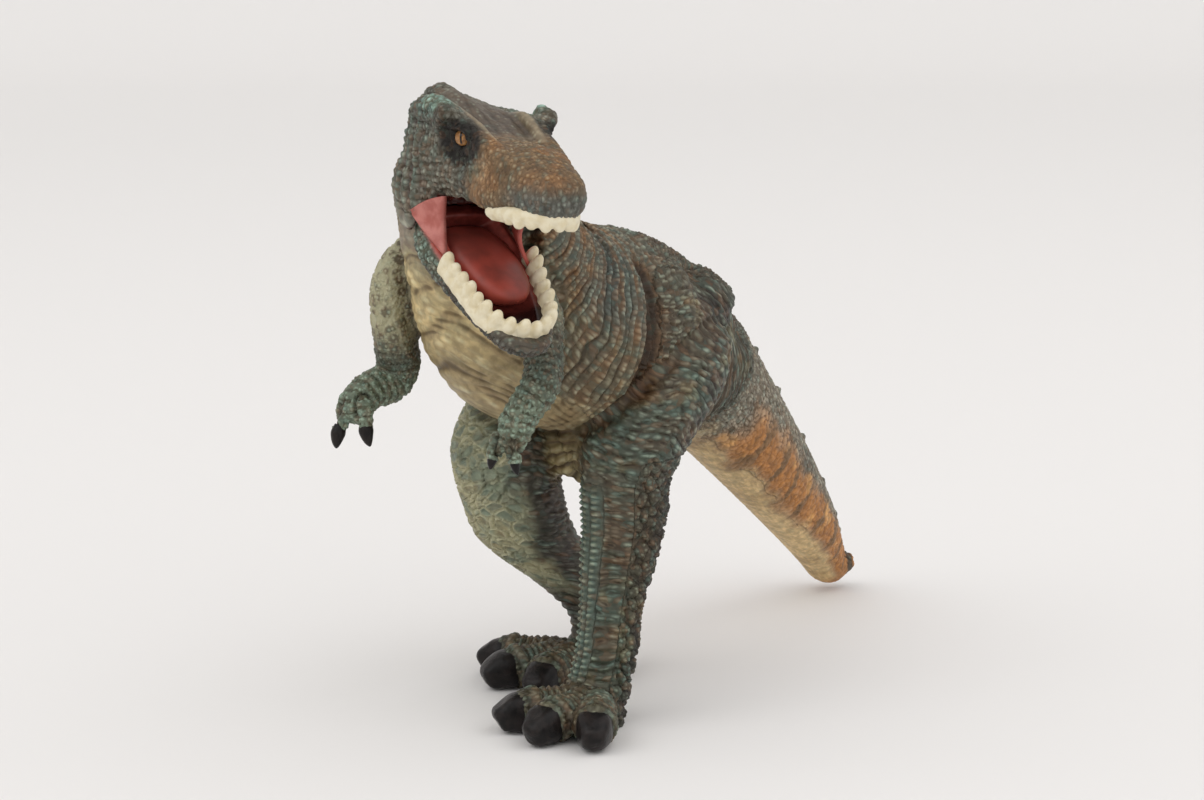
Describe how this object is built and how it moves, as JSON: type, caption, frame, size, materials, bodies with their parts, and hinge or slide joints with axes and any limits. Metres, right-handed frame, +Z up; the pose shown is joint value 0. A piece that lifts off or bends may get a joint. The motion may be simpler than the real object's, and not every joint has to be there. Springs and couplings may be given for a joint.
{
  "type": "toy dinosaur figure",
  "caption": "Painted toy figure of a two-legged meat-eating dinosaur in mid stride, with its head turned, a gaping hinged lower jaw, scaly skin and a long stiff tail.",
  "frame": {"origin": "on the ground under the middle of the whole figure", "axes": "+Z up, -Y the way the body faces, +X to the figure's own left"},
  "size_m": [0.0664, 0.1676, 0.1247],
  "materials": {
    "body_skin": "matt grey-green paint with brown wash over moulded scales",
    "ivory": "satin cream paint",
    "mouth_flesh": "glossy dark red paint",
    "claw_black": "glossy black-brown paint",
    "eye_amber": "glossy amber paint",
    "pin_steel": "plain"
  },
  "bodies": {
    "body": {"torso": "body_skin", "tail": "body_skin", "head_and_neck": "body_skin", "left_leg": "body_skin", "right_leg": "body_skin", "left_arm": "body_skin", "right_arm": "body_skin", "upper_teeth": "ivory", "mouth_lining": "mouth_flesh", "jaw_hinge_pin": "pin_steel", "left_eye": "eye_amber", "right_eye": "eye_amber", "left_inner_toe_claw": "claw_black", "left_middle_toe_claw": "claw_black", "left_outer_toe_claw": "claw_black", "right_inner_toe_claw": "claw_black", "right_middle_toe_claw": "claw_black", "right_outer_toe_claw": "claw_black", "left_dewclaw": "claw_black", "right_dewclaw": "claw_black", "left_first_finger_claw": "claw_black", "left_second_finger_claw": "claw_black", "right_first_finger_claw": "claw_black", "right_second_finger_claw": "claw_black"},
    "lower_jaw": {"lower_jaw": "body_skin", "lower_teeth": "ivory", "tongue": "mouth_flesh"}
  },
  "joints": [
    {"name": "jaw_hinge", "type": "hinge", "parent": "body", "child": "lower_jaw", "pos_m": [0.00004, -0.06645, 0.10045], "axis": [-0.3883, -0.9182, 0.0784], "range_deg": [0, 22]}
  ]
}
